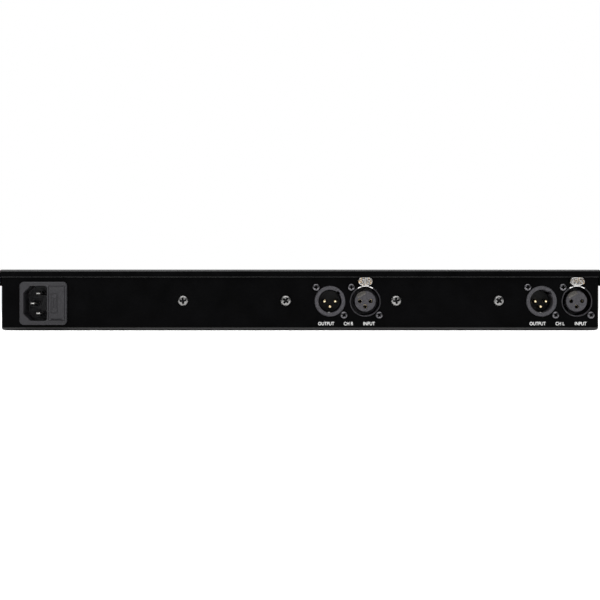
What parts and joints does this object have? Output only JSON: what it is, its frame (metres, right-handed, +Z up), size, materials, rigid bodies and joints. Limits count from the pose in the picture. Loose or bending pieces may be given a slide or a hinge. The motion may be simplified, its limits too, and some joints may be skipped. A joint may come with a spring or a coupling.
{
  "type": "rack effects unit",
  "caption": "Low black rack-mount two-channel audio processor with a mains inlet, fuse drawer, XLR outputs and inputs on the rear, and knobs, buttons and a rocker on the front.",
  "frame": {"origin": "centre of the bounding box in X and Y, on the underside of the chassis", "axes": "+Z up, +X along the width, front panel and knobs towards -Y, connectors towards +Y"},
  "size_m": [0.4826, 0.2222, 0.0437],
  "materials": {
    "black_paint": "semi-gloss powder coat",
    "panel_anodised": "fine brushed and anodised black",
    "grey_plastic": "moulded, lightly textured",
    "black_plastic": "moulded, fine texture",
    "plated_blade": "nickel plated",
    "gold_plate": "gold plated",
    "dark_nickel": "black nickel plated",
    "bright_steel": "bright zinc plated",
    "turned_aluminium": "fine turned and anodised",
    "circuit_board": "solder mask",
    "winding_tape": "polyester tape over copper windings",
    "fuse_glass": "clear",
    "red_lens": "translucent red"
  },
  "bodies": {
    "chassis": {"chassis_tray": "black_paint", "top_cover": "black_paint", "front_panel": "panel_anodised", "iec_inlet_housing": "grey_plastic", "iec_line_blade": "plated_blade", "iec_neutral_blade": "plated_blade", "iec_earth_blade": "plated_blade", "right_output_shell": "grey_plastic", "right_input_insert": "grey_plastic", "right_output_insulator": "black_plastic", "right_output_pin_1": "gold_plate", "right_output_pin_2": "gold_plate", "right_output_pin_3": "gold_plate", "right_input_shell": "dark_nickel", "right_output_screw_upper": "dark_nickel", "right_output_screw_lower": "dark_nickel", "right_input_screw_upper": "dark_nickel", "right_input_screw_lower": "dark_nickel", "right_bracket_screw_outer": "bright_steel", "right_bracket_screw_inner": "bright_steel", "right_bracket": "turned_aluminium", "right_channel_board": "circuit_board", "right_control_board": "circuit_board", "left_output_shell": "grey_plastic", "left_input_insert": "grey_plastic", "left_output_insulator": "black_plastic", "left_output_pin_1": "gold_plate", "left_output_pin_2": "gold_plate", "left_output_pin_3": "gold_plate", "left_input_shell": "dark_nickel", "left_output_screw_upper": "dark_nickel", "left_output_screw_lower": "dark_nickel", "left_input_screw_upper": "dark_nickel", "left_input_screw_lower": "dark_nickel", "left_bracket_screw_outer": "bright_steel", "left_bracket_screw_inner": "bright_steel", "left_bracket": "turned_aluminium", "left_channel_board": "circuit_board", "left_control_board": "circuit_board", "power_supply_board": "circuit_board", "transformer": "winding_tape", "transformer_bolt": "bright_steel", "power_switch_frame": "black_plastic", "power_lens": "red_lens"},
    "right_drive_control": {"right_drive_knob": "turned_aluminium", "right_drive_shaft": "bright_steel"},
    "right_level_control": {"right_level_knob": "turned_aluminium", "right_level_shaft": "bright_steel"},
    "right_bypass": {"right_bypass_button": "black_plastic"},
    "right_latch": {"right_input_latch": "bright_steel"},
    "left_drive_control": {"left_drive_knob": "turned_aluminium", "left_drive_shaft": "bright_steel"},
    "left_level_control": {"left_level_knob": "turned_aluminium", "left_level_shaft": "bright_steel"},
    "left_bypass": {"left_bypass_button": "black_plastic"},
    "left_latch": {"left_input_latch": "bright_steel"},
    "power_rocker": {"power_rocker": "black_plastic"},
    "fuse_drawer": {"fuse_drawer": "grey_plastic", "mains_fuse": "fuse_glass"}
  },
  "joints": [
    {"name": "right_drive_turn", "type": "hinge", "parent": "chassis", "child": "right_drive_control", "pos_m": [-0.022, -0.0955, 0.02185], "axis": [0, 1, 0], "range_deg": [-150, 150]},
    {"name": "right_level_turn", "type": "hinge", "parent": "chassis", "child": "right_level_control", "pos_m": [0.012, -0.0955, 0.02185], "axis": [0, 1, 0], "range_deg": [-150, 150]},
    {"name": "right_bypass_press", "type": "slide", "parent": "chassis", "child": "right_bypass", "axis": [0, 1, 0], "range_m": [0, 0.0025], "stiffness_N_per_m": 400},
    {"name": "right_latch_press", "type": "slide", "parent": "chassis", "child": "right_latch", "axis": [0, -1, 0], "range_m": [0, 0.0018], "stiffness_N_per_m": 500},
    {"name": "left_drive_turn", "type": "hinge", "parent": "chassis", "child": "left_drive_control", "pos_m": [-0.172, -0.0955, 0.02185], "axis": [0, 1, 0], "range_deg": [-150, 150]},
    {"name": "left_level_turn", "type": "hinge", "parent": "chassis", "child": "left_level_control", "pos_m": [-0.138, -0.0955, 0.02185], "axis": [0, 1, 0], "range_deg": [-150, 150]},
    {"name": "left_bypass_press", "type": "slide", "parent": "chassis", "child": "left_bypass", "axis": [0, 1, 0], "range_m": [0, 0.0025], "stiffness_N_per_m": 400},
    {"name": "left_latch_press", "type": "slide", "parent": "chassis", "child": "left_latch", "axis": [0, -1, 0], "range_m": [0, 0.0018], "stiffness_N_per_m": 500},
    {"name": "power_rocker_tilt", "type": "hinge", "parent": "chassis", "child": "power_rocker", "pos_m": [0.18, -0.0955, 0.02185], "axis": [1, 0, 0], "range_deg": [0, 16]},
    {"name": "fuse_drawer_slide", "type": "slide", "parent": "chassis", "child": "fuse_drawer", "axis": [0, 1, 0], "range_m": [0, 0.02]}
  ]
}
